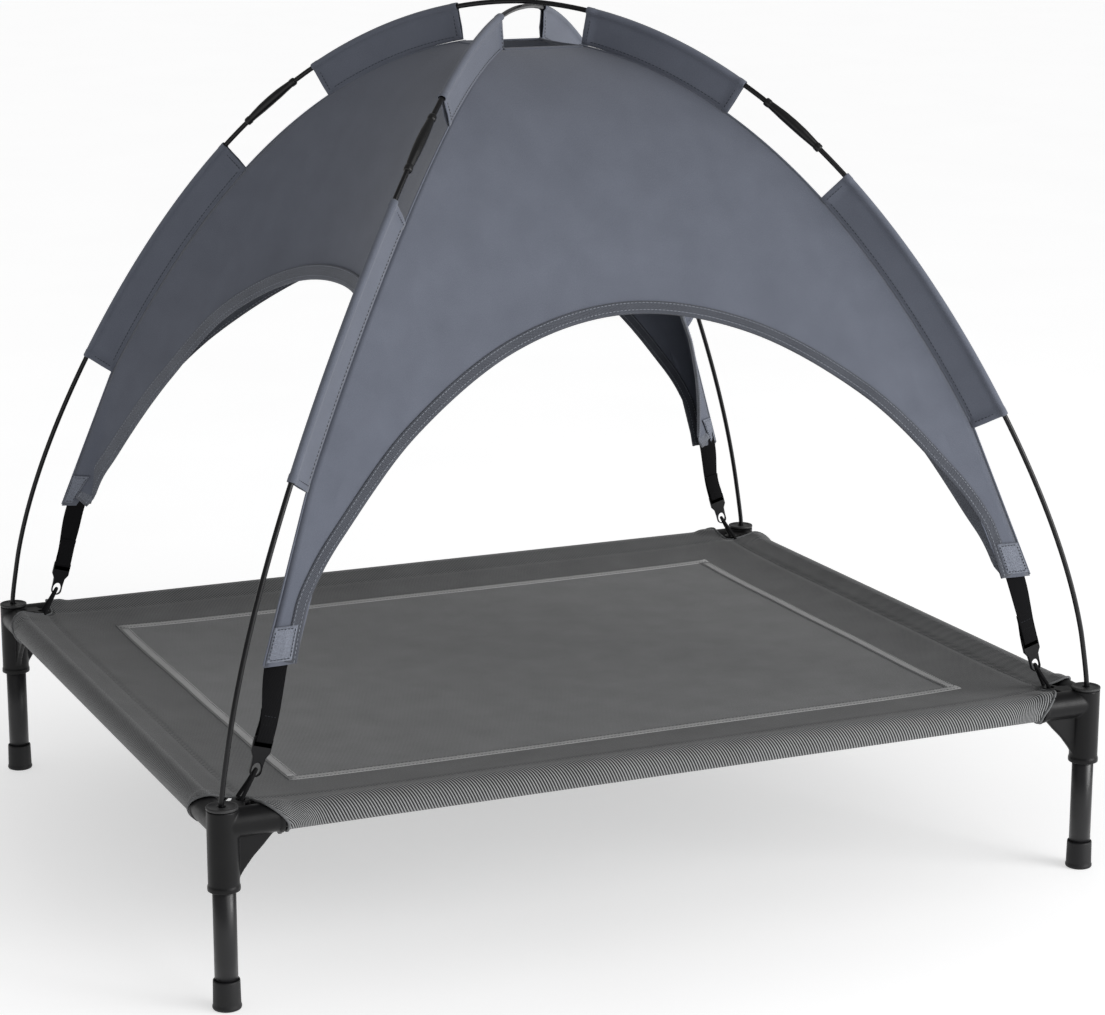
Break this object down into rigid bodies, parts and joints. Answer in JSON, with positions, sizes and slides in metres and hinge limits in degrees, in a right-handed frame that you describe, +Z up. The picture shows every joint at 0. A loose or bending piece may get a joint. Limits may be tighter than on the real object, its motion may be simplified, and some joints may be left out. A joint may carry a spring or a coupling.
{
  "type": "raised pet bed with canopy",
  "caption": "Raised pet bed: stretched fabric sheet on a tube frame with legs, under a removable arched sun canopy on crossed bent poles, tied down by hooked straps.",
  "frame": {"origin": "on the floor, below the middle of the bed (centre of the bottom of the bounding box)", "axes": "+X along the long side to the right, +Y from the front to the back, +Z up"},
  "size_m": [0.9156, 0.7636, 0.8437],
  "materials": {
    "fitting": "moulded black plastic with a fine grain",
    "cap": "moulded dark grey plastic, matt",
    "tube": "satin black powder coat",
    "foot": "matt black rubber",
    "bed": "grey coated mesh weave, matt",
    "tape": "light grey sewn reinforcing tape",
    "pole": "black glass-fibre rod, satin gloss",
    "ferrule": "black moulded sleeve, satin",
    "canopy": "blue-grey woven polyester, matt",
    "webbing": "black ribbed webbing",
    "hook": "black moulded plastic",
    "elastic": "black braided elastic cord"
  },
  "bodies": {
    "frame": {"corner_fitting_front_left": "fitting", "corner_fitting_front_right": "fitting", "corner_fitting_back_left": "fitting", "corner_fitting_back_right": "fitting", "pole_socket_cap_front_left": "cap", "pole_socket_cap_front_right": "cap", "pole_socket_cap_back_left": "cap", "pole_socket_cap_back_right": "cap", "leg_tube_front_left": "tube", "leg_tube_front_right": "tube", "leg_tube_back_left": "tube", "leg_tube_back_right": "tube", "rail_front": "tube", "rail_back": "tube", "rail_left": "tube", "rail_right": "tube", "foot_front_left": "foot", "foot_front_right": "foot", "foot_back_left": "foot", "foot_back_right": "foot", "bed_fabric": "bed", "bed_tape_front": "tape", "bed_tape_back": "tape", "bed_tape_left": "tape", "bed_tape_right": "tape", "elastic_loop_front_left": "elastic", "elastic_loop_front_right": "elastic", "elastic_loop_back_left": "elastic", "elastic_loop_back_right": "elastic"},
    "canopy": {"pole_over_middle": "pole", "pole_under_middle": "pole", "pole_end_front_left": "pole", "pole_end_front_right": "pole", "pole_end_back_left": "pole", "pole_end_back_right": "pole", "pole_ferrule_front_left": "ferrule", "pole_ferrule_front_right": "ferrule", "pole_ferrule_back_left": "ferrule", "pole_ferrule_back_right": "ferrule", "canopy_panel_front": "canopy", "canopy_panel_back": "canopy", "canopy_panel_left": "canopy", "canopy_panel_right": "canopy", "pole_sleeve_upper_front_left": "canopy", "pole_sleeve_upper_front_right": "canopy", "pole_sleeve_upper_back_left": "canopy", "pole_sleeve_upper_back_right": "canopy", "pole_sleeve_lower_front_left": "canopy", "pole_sleeve_lower_front_right": "canopy", "pole_sleeve_lower_back_left": "canopy", "pole_sleeve_lower_back_right": "canopy", "strap_front_left": "webbing", "strap_front_right": "webbing", "strap_back_left": "webbing", "strap_back_right": "webbing"},
    "hook_front_left": {"hook_front_left": "hook"},
    "hook_front_right": {"hook_front_right": "hook"},
    "hook_back_left": {"hook_back_left": "hook"},
    "hook_back_right": {"hook_back_right": "hook"}
  },
  "joints": [
    {"name": "canopy_lift", "type": "slide", "parent": "frame", "child": "canopy", "axis": [0, 0, 1], "range_m": [0, 0.2], "deforming": ["elastic_loop_front_left", "elastic_loop_front_right", "elastic_loop_back_left", "elastic_loop_back_right"]},
    {"name": "hook_swing_front_left", "type": "hinge", "parent": "canopy", "child": "hook_front_left", "pos_m": [-0.39404, -0.338, 0.23284], "axis": [0.9587, 0, -0.2844], "range_deg": [-35, 35], "deforming": ["elastic_loop_front_left"]},
    {"name": "hook_swing_front_right", "type": "hinge", "parent": "canopy", "child": "hook_front_right", "pos_m": [0.39404, -0.338, 0.23284], "axis": [0.9587, 0, 0.2844], "range_deg": [-35, 35], "deforming": ["elastic_loop_front_right"]},
    {"name": "hook_swing_back_left", "type": "hinge", "parent": "canopy", "child": "hook_back_left", "pos_m": [-0.39404, 0.338, 0.23284], "axis": [-0.9587, 0, 0.2844], "range_deg": [-35, 35], "deforming": ["elastic_loop_back_left"]},
    {"name": "hook_swing_back_right", "type": "hinge", "parent": "canopy", "child": "hook_back_right", "pos_m": [0.39404, 0.338, 0.23284], "axis": [-0.9587, 0, -0.2844], "range_deg": [-35, 35], "deforming": ["elastic_loop_back_right"]}
  ]
}
